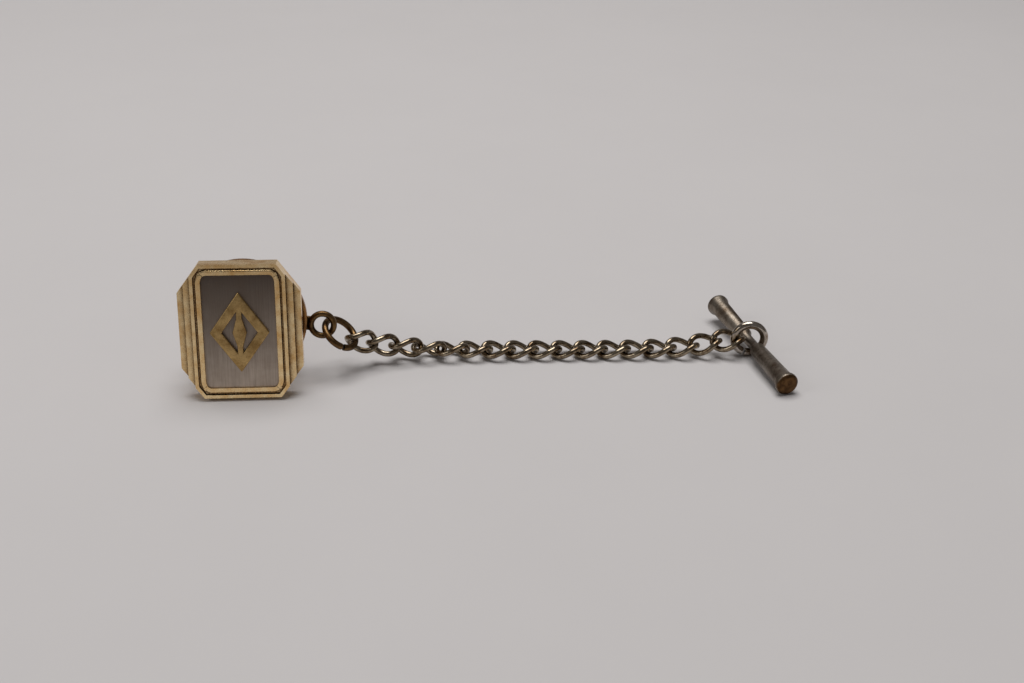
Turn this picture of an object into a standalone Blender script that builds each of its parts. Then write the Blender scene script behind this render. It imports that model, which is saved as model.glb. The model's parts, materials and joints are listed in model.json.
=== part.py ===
"""Tie tack: a stepped octagonal head on a pointed post, a ball-lock clutch, a safety chain and a toggle bar.

The head and its clutch are modelled lying face up: X across the head, Y up it, Z out of its face, with
Z = 0 on the tie side of the head. An empty then stands them up, leaning back on the rim of the clutch.
The chain leaves the clutch's eyelet, drops to the surface and runs along +X to the toggle bar.
"""
import math

import bmesh
import bpy
from mathutils import Matrix, Vector

MM = 0.001

# Head -------------------------------------------------------------------------------------------------
HEAD_WIDTH = 10.9 * MM
HEAD_HEIGHT = 12.4 * MM
HEAD_DEPTH = 1.7 * MM
CORNER_ACROSS = 2.0 * MM         # how far each cut corner runs along the top edge
CORNER_DOWN = 2.7 * MM           # and down the side
RIB_WIDTH = 0.62 * MM            # each of the two ribs that step down at each side
RIB_STEP = 0.36 * MM
HEAD_WALL = 0.4 * MM
FACE_WALL = 0.5 * MM             # metal under the inlay
RIM_WIDTH = 0.3 * MM             # flat band around the front
GROOVE_WIDTH = 0.18 * MM
GROOVE_DEPTH = 0.2 * MM
BEAD_WIDTH = 0.32 * MM           # raised lip around the inlay
INLAY_THICK = 0.3 * MM
INLAY_SINK = 0.12 * MM           # inlay below the rim
ORNAMENT_WIDTH = 5.3 * MM
ORNAMENT_HEIGHT = 7.4 * MM
ORNAMENT_STROKE = 0.85 * MM
ORNAMENT_THICK = 0.32 * MM
BACK_PLATE_THICK = 0.3 * MM

# Post -------------------------------------------------------------------------------------------------
POST_RADIUS = 0.55 * MM
POST_LENGTH = 8.5 * MM           # from the tie side of the head to the point
POST_POINT = 1.3 * MM
POST_GROOVE_AT = 6.6 * MM
POST_GROOVE_DEPTH = 0.1 * MM
POST_HEAD_RADIUS = 0.95 * MM
POST_HEAD_THICK = 0.17 * MM
PAD_FLANGE_RADIUS = 2.1 * MM
PAD_FLANGE_THICK = 0.17 * MM
PAD_NECK_RADIUS = 1.6 * MM
PAD_PROUD = 0.12 * MM            # pad beyond the tie side of the back plate

# Clutch -----------------------------------------------------------------------------------------------
TIE_GAP = 2.1 * MM               # head to clutch, where the tie is held
DISC_RADIUS = 5.7 * MM
DISC_LIP_HEIGHT = 0.3 * MM
DISC_LIP_WIDTH = 0.4 * MM
DISC_WEB = 0.35 * MM
HOUSING_RADIUS = 3.2 * MM
HOUSING_LENGTH = 3.9 * MM
HOUSING_WALL = 0.25 * MM
BUSH_WALL = 0.3 * MM
BUSH_LENGTH = 1.0 * MM
BUSH_FLANGE = 0.3 * MM           # flange beyond the bush's outside, and its thickness is BUSH_WALL
BALL_RADIUS = 0.45 * MM
BALL_COUNT = 3
CONE_WALL = 0.3 * MM
CONE_SLOPE = math.radians(12)
CAGE_REACH = 0.62 * MM           # cage before and behind the balls' centres
CAGE_FLANGE = 0.3 * MM           # width of the cage's spring seat, and its thickness is CAGE_SEAT
CAGE_SEAT = 0.2 * MM
CAGE_WALL = 0.55 * MM
STEM_WALL = 0.35 * MM
SPRING_WIRE = 0.09 * MM          # radius
SPRING_TURNS = 4
KNOB_RADIUS = 2.5 * MM
TIP_CLEARANCE = 0.15 * MM        # from the post's point to the inside of the knob
KNOB_WALL = 0.35 * MM
KNOB_EDGE = 0.4 * MM             # rounding of the knob's grip
KNOB_WAIST = 0.35 * MM           # how far the knob narrows towards the housing

# Eyelet and rings -------------------------------------------------------------------------------------
EYELET_HOLE = 0.76 * MM          # radius
EYELET_WIRE = 0.29 * MM          # radius
EYELET_TAB_WIDTH = 1.3 * MM
EYELET_TAB_THICK = 0.35 * MM
EYELET_ANGLE = math.radians(-6)  # where the chain has drawn it round to
JUMP_OUTER = 1.97 * MM           # radius
JUMP_WIRE = 0.33 * MM            # radius
END_OUTER = 1.84 * MM            # radius
END_WIRE = 0.39 * MM             # radius
RING_CUT = 0.22 * MM             # gap where a ring's ends meet

# Chain ------------------------------------------------------------------------------------------------
LINK_COUNT = 17
LINK_WIRE = 0.29 * MM            # radius
LINK_HALF_LENGTH = 1.48 * MM     # of the wire's centreline
LINK_HALF_WIDTH = 0.96 * MM
LINK_TWIST = -0.6 / MM           # radians of twist for each metre along the link
WIRE_PLAY = 0.16 * MM            # slack between two linked wires
LINK_POINTS = 26                 # corners of a link's centreline

# Toggle bar -------------------------------------------------------------------------------------------
TOGGLE_LENGTH = 16.4 * MM
TOGGLE_NECK_RADIUS = 0.5 * MM
TOGGLE_NECK_LENGTH = 1.9 * MM
TOGGLE_SHOULDER_RADIUS = 0.74 * MM
TOGGLE_BODY_RADIUS = 0.9 * MM
TOGGLE_LIP_RADIUS = 1.08 * MM    # too big for the end ring's hole
TOGGLE_LIP_LENGTH = 0.5 * MM
TOGGLE_CHAMFER = 0.22 * MM

# Clearances -------------------------------------------------------------------------------------------
SEAT = 0.03 * MM                 # between pieces that are pressed, soldered or crimped together
RUNNING = 0.05 * MM              # between pieces that slide or turn on each other

# How it lies ------------------------------------------------------------------------------------------
TACK_TURN = math.radians(4.5)    # head turned about the vertical
JUMP_LEAN = Vector((0.8169, -0.4933, -0.2990))   # to the chain, in the tack's axes
JUMP_ACROSS = Vector((-0.0260, 0.4848, -0.8742))  # towards the ring's far side, in the same
JUMP_CUT_AT = math.radians(-82)
CHAIN_DROP_RUN = 4.2 * MM        # over which the chain comes down to the surface
CHAIN_SWAY = 2.3 * MM            # how far it swings back from the eyelet
CHAIN_SWAY_RUN = 4.5 * MM
CHAIN_DRIFT = 0.045              # slope away from the X axis after that
CHAIN_END_RISE = 1.12 * MM       # up into the end ring
CHAIN_END_RUN = 2.6 * MM
CHAIN_REST = 0.7 * MM            # height of a link's centre when it lies down
CHAIN_ROLL = math.radians(-90)   # first link's roll about the chain
CHAIN_ROLL_FADE = 3.2            # links over which the roll dies away
LAST_ROLL = math.radians(30)     # last link's roll, into the upright end ring
LAST_ROLL_FADE = 2.0
TOGGLE_TURN = math.radians(16.9)              # bar turned from the Y axis
TOGGLE_SIT = Vector((0.20, 0.0, -0.44)) * MM  # neck's place in the end ring
END_CUT_AT = math.radians(-110)

TACK = "tie_tack"
SHARP_ANGLE = 40                 # degrees above which an edge stays sharp
BRASS_GILT = (0.62, 0.45, 0.22)
SILVER = (0.30, 0.27, 0.25)
ORNAMENT_GILT = (0.42, 0.31, 0.14)
BRASS_DARK = (0.20, 0.10, 0.05)
STEEL = (0.32, 0.29, 0.25)
STEEL_DARK = (0.12, 0.09, 0.07)

EYELET_OUTER = EYELET_HOLE + 2 * EYELET_WIRE
DISC_HEIGHT = DISC_LIP_HEIGHT + DISC_WEB
CLUTCH_REAR = -(TIE_GAP + DISC_HEIGHT)        # Z of the back of the disc
BALL_RING = POST_RADIUS + BALL_RADIUS + SEAT  # radius on which the balls' centres lie
LINK_PITCH = 2 * (LINK_HALF_LENGTH - LINK_WIRE) - WIRE_PLAY
LEAN = math.atan2(HEAD_HEIGHT / 2 - DISC_RADIUS, TIE_GAP + DISC_HEIGHT)


def clear_scene():
    for item in list(bpy.data.objects):
        bpy.data.objects.remove(item, do_unlink=True)


def make_material(name, colour, roughness):
    material = bpy.data.materials.new(name)
    material.use_nodes = True
    shader = material.node_tree.nodes["Principled BSDF"]
    shader.inputs["Base Color"].default_value = (*colour, 1.0)
    shader.inputs["Roughness"].default_value = roughness
    shader.inputs["Metallic"].default_value = 1.0
    material.diffuse_color = (*colour, 1.0)
    return material


def make_collection(name):
    collection = bpy.data.collections.new(name)
    bpy.context.scene.collection.children.link(collection)
    return collection


def make_empty(name, parent=None, location=(0, 0, 0), rotation=(0, 0, 0)):
    empty = bpy.data.objects.new(name, None)
    empty.empty_display_size = MM
    empty.location = location
    empty.rotation_euler = rotation
    empty.parent = parent
    bpy.data.collections[TACK].objects.link(empty)
    return empty


def add_object(name, data):
    """A new object in the part's collection."""
    item = bpy.data.objects.new(name, data)
    bpy.data.collections[TACK].objects.link(item)
    return item


def evaluated_mesh(item):
    """The object's shape with its modifiers applied and its loose caps welded, in its own axes."""
    graph = bpy.context.evaluated_depsgraph_get()
    mesh = bpy.data.meshes.new_from_object(item.evaluated_get(graph))
    work = bmesh.new()
    work.from_mesh(mesh)
    bmesh.ops.remove_doubles(work, verts=work.verts, dist=0.001 * MM)
    bmesh.ops.recalc_face_normals(work, faces=work.faces)
    work.to_mesh(mesh)
    work.free()
    return mesh


def turn_to_mesh(item):
    """Replace a curve or a modified object by a plain mesh object of the same name."""
    mesh = evaluated_mesh(item)
    name = item.name
    bpy.data.objects.remove(item, do_unlink=True)
    return add_object(name, mesh)


def combine(item, others, operation):
    """Cut the others out of the item, or join them to it, and remove them."""
    for other in others:
        step = item.modifiers.new(operation, "BOOLEAN")
        step.operation = operation
        step.object = other
    bpy.context.view_layer.update()
    mesh = evaluated_mesh(item)
    item.modifiers.clear()
    item.data = mesh
    for other in others:
        bpy.data.objects.remove(other, do_unlink=True)
    return item


def plate(name, outlines, low, high):
    """A flat piece from closed outlines; the inner ones are holes. It fills from Z = low to Z = high."""
    curve = bpy.data.curves.new(name, "CURVE")
    curve.dimensions = "2D"
    curve.fill_mode = "BOTH"
    curve.extrude = (high - low) / 2
    for outline in outlines:
        spline = curve.splines.new("POLY")
        spline.points.add(len(outline) - 1)
        for point, (x, y) in zip(spline.points, outline):
            point.co = (x, y, 0.0, 1.0)
        spline.use_cyclic_u = True
    solid = turn_to_mesh(add_object(name, curve))
    solid.data.transform(Matrix.Translation((0, 0, (low + high) / 2)))
    return solid


def box(name, low, high):
    """A box between two corners."""
    work = bmesh.new()
    size = [top - bottom for bottom, top in zip(low, high)]
    middle = [(top + bottom) / 2 for bottom, top in zip(low, high)]
    place = Matrix.Translation(middle) @ Matrix.Diagonal((*size, 1.0))
    bmesh.ops.create_cube(work, size=1.0, matrix=place)
    mesh = bpy.data.meshes.new(name)
    work.to_mesh(mesh)
    work.free()
    return add_object(name, mesh)


def drum(name, radius, low, high, sides=48):
    """A plain round bar or hole along Z."""
    work = bmesh.new()
    place = Matrix.Translation((0, 0, (low + high) / 2))
    bmesh.ops.create_cone(work, cap_ends=True, segments=sides, radius1=radius, radius2=radius,
                          depth=high - low, matrix=place)
    mesh = bpy.data.meshes.new(name)
    work.to_mesh(mesh)
    work.free()
    return add_object(name, mesh)


def turned(name, profile, sides=40):
    """A solid turned about Z from a profile of (radius, z) points; no edge runs along the axis."""
    mesh = bpy.data.meshes.new(name)
    edges = []
    for index in range(len(profile)):
        after = (index + 1) % len(profile)
        if profile[index][0] > 0 or profile[after][0] > 0:
            edges.append((index, after))
    mesh.from_pydata([(radius, 0.0, z) for radius, z in profile], edges, [])
    item = add_object(name, mesh)
    screw = item.modifiers.new("turn", "SCREW")
    screw.axis = "Z"
    screw.steps = screw.render_steps = sides
    screw.use_merge_vertices = True
    screw.merge_threshold = 0.001 * MM
    return turn_to_mesh(item)


def wire(name, points, radius, closed, sides=2):
    """Round wire along a line of points, with filled ends where it is open."""
    curve = bpy.data.curves.new(name, "CURVE")
    curve.dimensions = "3D"
    curve.bevel_depth = radius
    curve.bevel_resolution = sides
    curve.use_fill_caps = not closed
    spline = curve.splines.new("POLY")
    spline.points.add(len(points) - 1)
    for point, place in zip(spline.points, points):
        point.co = (*place, 1.0)
    spline.use_cyclic_u = closed
    return turn_to_mesh(add_object(name, curve))


def finish(item, parent, colour, roughness, smooth=True):
    """Give a finished piece its material and its parent."""
    item.data.materials.clear()
    item.data.materials.append(make_material(item.name + "_metal", colour, roughness))
    item.parent = parent
    if smooth:
        item.data.shade_smooth()
        item.data.set_sharp_from_angle(angle=math.radians(SHARP_ANGLE))
    return item


# Outlines ---------------------------------------------------------------------------------------------
def octagon(half_width, half_height, across, down):
    """An upright octagon; each cut corner runs 'across' along the top and 'down' the side."""
    corners = []
    for side_x, side_y in ((1, 1), (-1, 1), (-1, -1), (1, -1)):
        on_top = (side_x * (half_width - across), side_y * half_height)
        on_side = (side_x * half_width, side_y * (half_height - down))
        corners += [on_side, on_top] if side_x * side_y > 0 else [on_top, on_side]
    return corners


def head_outline(half_width, inset=0.0):
    """The head's outline, narrowed to a half width along the line of its cut corners, then inset."""
    slope = CORNER_DOWN / CORNER_ACROSS
    across = CORNER_ACROSS - (HEAD_WIDTH / 2 - half_width)
    keep = inset * (math.hypot(1.0, slope) - slope) / slope
    return octagon(half_width - inset, HEAD_HEIGHT / 2 - inset,
                   across - inset + keep, (across - inset + keep) * slope)


def lozenge(half_width, half_height):
    return [(half_width, 0.0), (0.0, half_height), (-half_width, 0.0), (0.0, -half_height)]


def frame_half_width():
    return HEAD_WIDTH / 2 - 2 * RIB_WIDTH


# Head -------------------------------------------------------------------------------------------------
def face_shell(parent):
    """Hollow stamping: ribs stepping down at each side, a rim, a groove and a lip round the inlay seat."""
    shell = plate("face_shell", [head_outline(HEAD_WIDTH / 2)], 0.0, HEAD_DEPTH)
    beyond = HEAD_HEIGHT
    cuts = []
    for step in (1, 2):
        edge = HEAD_WIDTH / 2 - step * RIB_WIDTH
        floor = HEAD_DEPTH - (3 - step) * RIB_STEP
        for side in (-1, 1):
            low_x, high_x = sorted((side * edge, side * beyond))
            cuts.append(box("step_cut", (low_x, -beyond, floor), (high_x, beyond, beyond)))
    frame = frame_half_width()
    groove_outer = head_outline(frame, RIM_WIDTH)
    groove_inner = head_outline(frame, RIM_WIDTH + GROOVE_WIDTH)
    cuts.append(plate("groove_cut", [groove_outer, groove_inner], HEAD_DEPTH - GROOVE_DEPTH, beyond))
    seat = head_outline(frame, RIM_WIDTH + GROOVE_WIDTH + BEAD_WIDTH)
    cuts.append(plate("seat_cut", [seat], inlay_floor(), beyond))
    low_hollow = HEAD_DEPTH - 2 * RIB_STEP - HEAD_WALL
    cuts.append(plate("hollow_cut", [head_outline(HEAD_WIDTH / 2, HEAD_WALL)], -beyond, low_hollow))
    cuts.append(plate("deep_cut", [head_outline(frame, HEAD_WALL)], -beyond, inlay_floor() - FACE_WALL))
    combine(shell, cuts, "DIFFERENCE")
    return finish(shell, parent, BRASS_GILT, 0.3, smooth=False)


def inlay_floor():
    """Z of the seat that the inlay lies on."""
    return HEAD_DEPTH - INLAY_SINK - INLAY_THICK - SEAT


def inlay_top():
    return HEAD_DEPTH - INLAY_SINK


def inlay_panel(parent):
    inset = RIM_WIDTH + GROOVE_WIDTH + BEAD_WIDTH + SEAT
    panel = plate("inlay_panel", [head_outline(frame_half_width(), inset)],
                  inlay_top() - INLAY_THICK, inlay_top())
    return finish(panel, parent, SILVER, 0.45, smooth=False)


def ornament(parent):
    """Applied lozenge with a spine down its middle that swells at the centre."""
    half_w, half_h = ORNAMENT_WIDTH / 2, ORNAMENT_HEIGHT / 2
    slant = math.hypot(half_w, half_h)
    inner_w = half_w - ORNAMENT_STROKE * slant / half_h
    inner_h = half_h - ORNAMENT_STROKE * slant / half_w
    spine, swell = ORNAMENT_STROKE * 0.3, ORNAMENT_STROKE * 0.75
    shoulder = inner_h * (1 - spine / inner_w)
    outlines = [lozenge(half_w, half_h)]
    for side in (-1, 1):
        outlines.append([(side * inner_w, 0.0), (side * spine, shoulder), (side * spine, swell * 2),
                         (side * swell, 0.0), (side * spine, -swell * 2), (side * spine, -shoulder)])
    piece = plate("ornament", outlines, inlay_top() + SEAT, inlay_top() + SEAT + ORNAMENT_THICK)
    return finish(piece, parent, ORNAMENT_GILT, 0.4, smooth=False)


def back_plate(parent):
    """Closes the shell; its tie side is flush with the shell's edge, and its hole holds the post's pad."""
    piece = plate("back_plate", [head_outline(HEAD_WIDTH / 2, HEAD_WALL + SEAT)], 0.0, BACK_PLATE_THICK)
    hole = drum("pad_hole", PAD_NECK_RADIUS + SEAT, -HEAD_DEPTH, HEAD_DEPTH)
    combine(piece, [hole], "DIFFERENCE")
    return finish(piece, parent, BRASS_GILT, 0.35, smooth=False)


def post_pad(parent):
    """Flanged bush soldered in the back plate, with the post through it."""
    flange_low = BACK_PLATE_THICK + SEAT
    bore = POST_RADIUS + SEAT
    profile = [(bore, flange_low + PAD_FLANGE_THICK), (PAD_FLANGE_RADIUS, flange_low + PAD_FLANGE_THICK),
               (PAD_FLANGE_RADIUS, flange_low), (PAD_NECK_RADIUS, flange_low),
               (PAD_NECK_RADIUS, -PAD_PROUD), (bore, -PAD_PROUD)]
    return finish(turned("post_pad", profile), parent, BRASS_GILT, 0.35)


def tack_post(parent):
    """Nail with a flat head inside the shell, a locking groove and a sharp point."""
    head_low = BACK_PLATE_THICK + 2 * SEAT + PAD_FLANGE_THICK
    neck = POST_RADIUS - POST_GROOVE_DEPTH
    profile = [(0.0, head_low + POST_HEAD_THICK), (POST_HEAD_RADIUS, head_low + POST_HEAD_THICK),
               (POST_HEAD_RADIUS, head_low), (POST_RADIUS, head_low),
               (POST_RADIUS, -POST_GROOVE_AT + 2 * POST_GROOVE_DEPTH), (neck, -POST_GROOVE_AT),
               (POST_RADIUS, -POST_GROOVE_AT - 2 * POST_GROOVE_DEPTH),
               (POST_RADIUS, -POST_LENGTH + POST_POINT), (0.0, -POST_LENGTH)]
    return finish(turned("tack_post", profile, 24), parent, STEEL, 0.3)


# Clutch -----------------------------------------------------------------------------------------------
def bush_outer():
    return POST_RADIUS + RUNNING + BUSH_WALL


def web_front():
    """Z of the flat front of the disc, inside its lip."""
    return -(TIE_GAP + DISC_LIP_HEIGHT)


def bush_rear():
    return web_front() - BUSH_LENGTH


def ball_level():
    """Z of the balls' centres when the clutch grips."""
    return bush_rear() - BUSH_WALL - RUNNING - CAGE_REACH


def cone_radius(level):
    """Inner radius of the wedge ring: it opens towards the knob."""
    touching = BALL_RING + BALL_RADIUS + RUNNING
    return touching + (ball_level() - level) * math.tan(CONE_SLOPE)


def housing_rear():
    return CLUTCH_REAR - SEAT - HOUSING_LENGTH


def seat_level():
    """Z of the rear of the cage's spring seat."""
    return ball_level() - CAGE_REACH - CAGE_SEAT


def clutch_disc(parent):
    """Dished disc: a raised lip towards the tie and a flat web with the bush's hole."""
    hole = bush_outer() + RUNNING
    lip_inner = DISC_RADIUS - DISC_LIP_WIDTH
    profile = [(lip_inner, -TIE_GAP), (DISC_RADIUS, -TIE_GAP), (DISC_RADIUS, CLUTCH_REAR),
               (hole, CLUTCH_REAR), (hole, web_front()), (lip_inner, web_front())]
    return finish(turned("clutch_disc", profile, 64), parent, BRASS_DARK, 0.4)


def clutch_housing(parent):
    """Drawn cup behind the disc, with a hole in its end for the cage's stem."""
    front, rear = CLUTCH_REAR - SEAT, housing_rear()
    inner = HOUSING_RADIUS - HOUSING_WALL
    hole = stem_outer() + RUNNING
    profile = [(inner, front), (HOUSING_RADIUS, front), (HOUSING_RADIUS, rear), (hole, rear),
               (hole, rear + HOUSING_WALL), (inner, rear + HOUSING_WALL)]
    return finish(turned("clutch_housing", profile, 48), parent, BRASS_DARK, 0.4)


def wedge_ring(parent):
    """Pressed cone in the front of the housing, which wedges the balls against the post."""
    front = CLUTCH_REAR - SEAT
    rear = ball_level() - CAGE_REACH
    outer = HOUSING_RADIUS - HOUSING_WALL - SEAT
    top = bush_outer() + BUSH_FLANGE + RUNNING
    collar = front - CONE_WALL
    narrow = bush_rear() - BUSH_WALL
    profile = [(top, front), (outer, front), (outer, collar), (cone_radius(narrow) + CONE_WALL, collar),
               (cone_radius(rear) + CONE_WALL, rear), (cone_radius(rear), rear),
               (max(top, cone_radius(narrow)), narrow)]
    return finish(turned("wedge_ring", profile), parent, BRASS_DARK, 0.35)


def guide_bush(parent):
    """Liner on the post that the clutch turns about, held by its flange."""
    inner, outer = POST_RADIUS + RUNNING, bush_outer()
    rear = bush_rear()
    profile = [(inner, web_front()), (outer, web_front()), (outer, rear + BUSH_WALL - RUNNING),
               (outer + BUSH_FLANGE, rear + BUSH_WALL - RUNNING), (outer + BUSH_FLANGE, rear),
               (inner, rear)]
    return finish(turned("guide_bush", profile, 32), parent, BRASS_DARK, 0.3)


def cage_inner():
    return POST_RADIUS + RUNNING


def stem_outer():
    return cage_inner() + STEM_WALL


def knob_front():
    return housing_rear() - RUNNING


def knob_rear():
    """Z of the knob's end: the whole post fits inside it."""
    return -(POST_LENGTH + TIP_CLEARANCE + KNOB_WALL)


def stem_end():
    """Z where the cage's stem ends inside the knob."""
    return (knob_front() + knob_rear()) / 2


def cage_outer():
    return cage_inner() + CAGE_WALL


def ball_cage(parent):
    """Sleeve with a pocket for each ball, a seat for the spring and a stem to the knob."""
    front, rear = ball_level() + CAGE_REACH, ball_level() - CAGE_REACH
    flange = cage_outer() + CAGE_FLANGE
    profile = [(cage_inner(), front), (cage_outer(), front), (cage_outer(), rear), (flange, rear),
               (flange, seat_level()), (stem_outer(), seat_level()), (stem_outer(), stem_end()),
               (cage_inner(), stem_end())]
    cage = turned("ball_cage", profile)
    pockets = []
    for index in range(BALL_COUNT):
        pocket = drum("pocket_cut", BALL_RADIUS + RUNNING, 0.0, 2 * BALL_RING, 20)
        pocket.data.transform(ball_place(index, 0.0) @ Matrix.Rotation(math.pi / 2, 4, "Y"))
        pockets.append(pocket)
    combine(cage, pockets, "DIFFERENCE")
    return finish(cage, parent, STEEL, 0.35)


def ball_place(index, distance):
    turn = Matrix.Rotation(2 * math.pi * index / BALL_COUNT, 4, "Z")
    return Matrix.Translation((0, 0, ball_level())) @ turn @ Matrix.Translation((distance, 0, 0))


def locking_ball(index, parent):
    work = bmesh.new()
    bmesh.ops.create_uvsphere(work, u_segments=16, v_segments=10, radius=BALL_RADIUS,
                              matrix=ball_place(index, BALL_RING))
    name = f"locking_ball_{index + 1}"
    mesh = bpy.data.meshes.new(name)
    work.to_mesh(mesh)
    work.free()
    return finish(add_object(name, mesh), parent, STEEL, 0.15)


def spring_radius():
    return stem_outer() + RUNNING + SPRING_WIRE


def clutch_spring(parent):
    """Coil spring between the cage's seat and the end of the housing."""
    front = seat_level() - SEAT - SPRING_WIRE
    rear = housing_rear() + HOUSING_WALL + SEAT + SPRING_WIRE
    steps = 14
    points = []
    for step in range(SPRING_TURNS * steps + 1):
        angle = 2 * math.pi * step / steps
        share = step / (SPRING_TURNS * steps)
        points.append((spring_radius() * math.cos(angle), spring_radius() * math.sin(angle),
                       front + (rear - front) * share))
    return finish(wire("clutch_spring", points, SPRING_WIRE, False, 1), parent, STEEL, 0.3)


def release_knob(parent):
    """Hollow pull knob crimped on the cage's stem; the post's point ends inside it."""
    front, rear = knob_front(), knob_rear()
    grip_edge = front - (front - rear) / 3
    socket = stem_outer() + SEAT
    waist = KNOB_RADIUS - KNOB_WAIST
    inner = KNOB_RADIUS - KNOB_WAIST - KNOB_WALL
    profile = [(socket, front), (waist, front), (KNOB_RADIUS, grip_edge)]
    for step in range(5):
        angle = math.pi / 2 * step / 4
        profile.append((KNOB_RADIUS - KNOB_EDGE * (1 - math.cos(angle)),
                        rear + KNOB_EDGE * (1 - math.sin(angle))))
    profile += [(0.0, rear), (0.0, rear + KNOB_WALL), (inner, rear + KNOB_WALL),
                (inner, front - KNOB_WALL), (socket, front - KNOB_WALL)]
    return finish(turned("release_knob", profile, 48), parent, BRASS_DARK, 0.35)


# Eyelet and rings -------------------------------------------------------------------------------------
def eyelet_level():
    return CLUTCH_REAR


def eyelet_centre():
    """Centre of the eyelet's hole, in the tack's axes."""
    reach = DISC_RADIUS + RUNNING + EYELET_OUTER
    return Vector((reach * math.cos(EYELET_ANGLE), reach * math.sin(EYELET_ANGLE), eyelet_level()))


def eyelet(parent):
    """Wire ring at the disc's edge, on a tab soldered to the back of the disc."""
    reach = DISC_RADIUS + RUNNING + EYELET_OUTER
    middle = EYELET_HOLE + EYELET_WIRE
    points = [(reach + middle * math.cos(a), middle * math.sin(a), eyelet_level())
              for a in (2 * math.pi * step / 28 for step in range(28))]
    ring = wire("eyelet", points, EYELET_WIRE, True)
    top = CLUTCH_REAR - SEAT
    root = HOUSING_RADIUS + RUNNING
    tab = box("tab", (root, -EYELET_TAB_WIDTH / 2, top - EYELET_TAB_THICK),
              (reach - middle, EYELET_TAB_WIDTH / 2, top))
    combine(ring, [tab], "UNION")
    ring.data.transform(Matrix.Rotation(EYELET_ANGLE, 4, "Z"))
    return finish(ring, parent, BRASS_DARK, 0.45)


def ring_points(radius, cut_at, count):
    """Centreline of an open ring in its own XY plane, with its cut at an angle."""
    half_cut = (RING_CUT / 2) / radius
    sweep = 2 * math.pi - 2 * half_cut
    return [(radius * math.cos(cut_at + half_cut + sweep * step / (count - 1)),
             radius * math.sin(cut_at + half_cut + sweep * step / (count - 1)), 0.0)
            for step in range(count)]


def make_pivot(name, frame, parent):
    """An empty on a joint, for the piece that turns there."""
    pivot = make_empty(name + "_pivot", parent)
    pivot.matrix_basis = frame
    return pivot


def open_ring(name, outer, wire_radius, cut_at, frame, swing_x, parent, colour):
    """An open ring in a frame's XY plane, hung on an empty at swing_x along the frame's X."""
    points = ring_points(outer - wire_radius, cut_at, 40)
    ring = wire(name, points, wire_radius, False)
    ring.data.transform(Matrix.Translation((-swing_x, 0, 0)))
    pivot = make_pivot(name, frame @ Matrix.Translation((swing_x, 0, 0)), parent)
    return finish(ring, pivot, colour, 0.3)


# Chain ------------------------------------------------------------------------------------------------
def frame_from(origin, along, across):
    """Axes with X along a direction and Y as near as it can be to another one."""
    x_axis = along.normalized()
    z_axis = x_axis.cross(across).normalized()
    y_axis = z_axis.cross(x_axis)
    turn = Matrix((x_axis, y_axis, z_axis)).transposed().to_4x4()
    return Matrix.Translation(origin) @ turn


def jump_ring_frame(tack):
    """The jump ring hangs from the eyelet's wire: X towards the chain, Y away from the viewer's side."""
    axes = tack.matrix_world
    turn = axes.to_3x3()
    along = (turn @ JUMP_LEAN).normalized()
    normal = (turn @ Vector((0, 0, 1))).normalized()
    in_plane = (along - normal * along.dot(normal)).normalized()
    wire_middle = axes @ eyelet_centre() + in_plane * (EYELET_HOLE + EYELET_WIRE)
    through = wire_middle - along * (EYELET_WIRE + JUMP_WIRE + WIRE_PLAY)
    centre = through + along * (JUMP_OUTER - JUMP_WIRE)
    return frame_from(centre, along, turn @ JUMP_ACROSS)


def chain_start(jump):
    """Where the first link hangs on the jump ring's wire."""
    along = jump.to_3x3() @ Vector((1, 0, 0))
    return jump.translation + along * (JUMP_OUTER - 2 * JUMP_WIRE - WIRE_PLAY / 2)


def chain_route(start, run):
    """A point of the chain's route, a distance along X from its start."""
    last = LINK_COUNT * LINK_PITCH - CHAIN_SWAY
    drop = math.exp(-run / CHAIN_DROP_RUN)
    rise = CHAIN_END_RISE * math.exp(-((last - min(run, last)) / CHAIN_END_RUN))
    sway = CHAIN_SWAY * (1 - math.exp(-run / CHAIN_SWAY_RUN)) + CHAIN_DRIFT * run
    height = CHAIN_REST + (start.z - CHAIN_REST) * drop + rise
    return Vector((start.x + run, start.y + sway, height))


def chain_joints(start):
    """Points where link meets link, one pitch apart along the route."""
    points, run = [start], 0.0
    for _ in range(LINK_COUNT):
        low, high = run, run + LINK_PITCH
        for _ in range(40):
            middle = (low + high) / 2
            if (chain_route(start, middle) - points[-1]).length < LINK_PITCH:
                low = middle
            else:
                high = middle
        run = low
        points.append(chain_route(start, run))
    return points


def link_frame(joints, index):
    """A link's axes: X along the chain, Z up, rolled about X."""
    along = joints[index + 1] - joints[index]
    roll = CHAIN_ROLL * math.exp(-(index / CHAIN_ROLL_FADE) ** 2)
    roll += LAST_ROLL * math.exp(-((LINK_COUNT - 1 - index) / LAST_ROLL_FADE) ** 2)
    level = frame_from((joints[index] + joints[index + 1]) / 2, along, Vector((0, 1, 0)))
    return level @ Matrix.Rotation(roll, 4, "X")


def link_points():
    """A curb link's centreline: an oval twisted about its length."""
    points = []
    for step in range(LINK_POINTS):
        angle = 2 * math.pi * step / LINK_POINTS
        x = LINK_HALF_LENGTH * math.cos(angle)
        across = LINK_HALF_WIDTH * math.sin(angle)
        points.append((x, across * math.cos(LINK_TWIST * x), across * math.sin(LINK_TWIST * x)))
    return points


def curb_links(joints, parent):
    """The links, each hung on an empty at the joint with the link before it."""
    links = []
    for index in range(LINK_COUNT):
        frame = link_frame(joints, index)
        name = f"curb_link_{index + 1:02d}"
        pivot = make_pivot(name, frame @ Matrix.Translation((-LINK_PITCH / 2, 0, 0)), parent)
        link = wire(name, link_points(), LINK_WIRE, True)
        link.data.transform(Matrix.Translation((LINK_PITCH / 2, 0, 0)))
        links.append(finish(link, pivot, STEEL, 0.3))
    return links


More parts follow.
